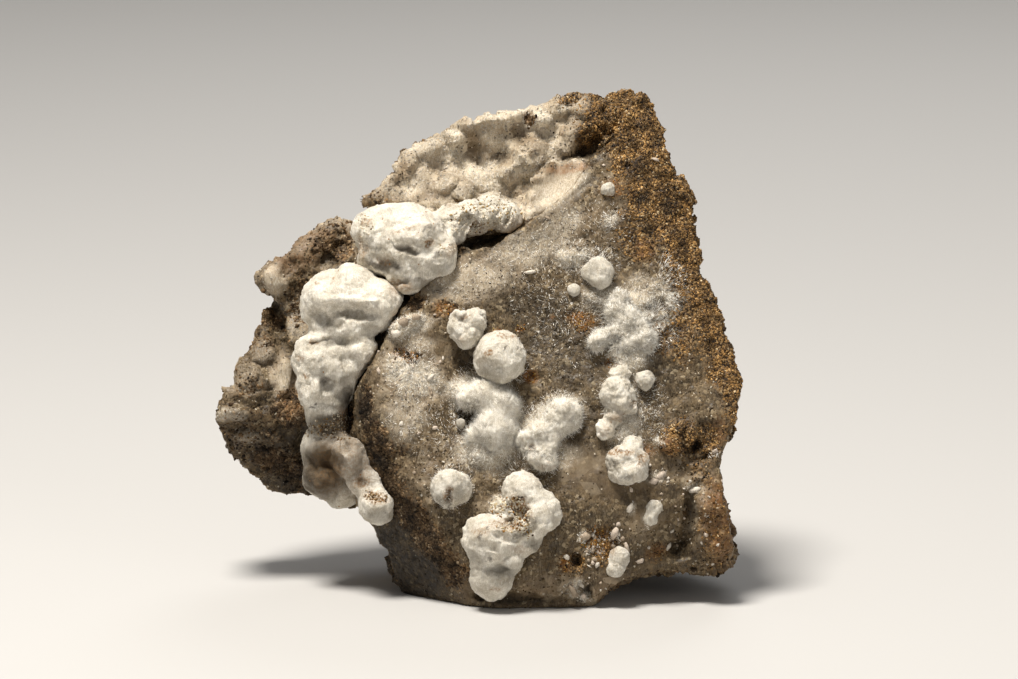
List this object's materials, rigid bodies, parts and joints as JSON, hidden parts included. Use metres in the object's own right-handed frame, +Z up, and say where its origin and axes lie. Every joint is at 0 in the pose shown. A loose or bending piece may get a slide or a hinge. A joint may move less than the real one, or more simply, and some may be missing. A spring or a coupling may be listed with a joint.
{
  "type": "gowerite mineral specimen",
  "caption": "Hand-size mineral specimen: chalky white balls and lumps of gowerite crystals on a broken block of grey and brown crystalline rock.",
  "frame": {"origin": "middle of the specimen's box on the surface it stands on", "axes": "+Z up, square to the level broken base; +X to the right of the face that carries the crystals; -Y out of that face"},
  "size_m": [0.0564, 0.0332, 0.0519],
  "materials": {
    "matrix": "broken crystalline borate rock: grey-white and translucent on the front face, ochre-brown and granular on the margins, back and sides",
    "gowerite": "chalky white to cream crystal masses of fine radiating needles, with silky fuzz and a few rusty stains"
  },
  "bodies": {
    "root": {"rock": "matrix", "upper_seam_mass": "gowerite", "lower_seam_mass": "gowerite", "knobby_ball": "gowerite", "round_ball": "gowerite", "high_ball": "gowerite", "small_ball": "gowerite", "pea": "gowerite", "centre_tuft": "gowerite", "right_tuft": "gowerite", "low_ball": "gowerite", "foot_cluster": "gowerite", "branching_tuft": "gowerite", "bead_string": "gowerite", "side_bead": "gowerite", "shell_ball": "gowerite", "high_bead": "gowerite", "low_sliver": "gowerite", "foot_crystal": "gowerite"}
  },
  "joints": []
}
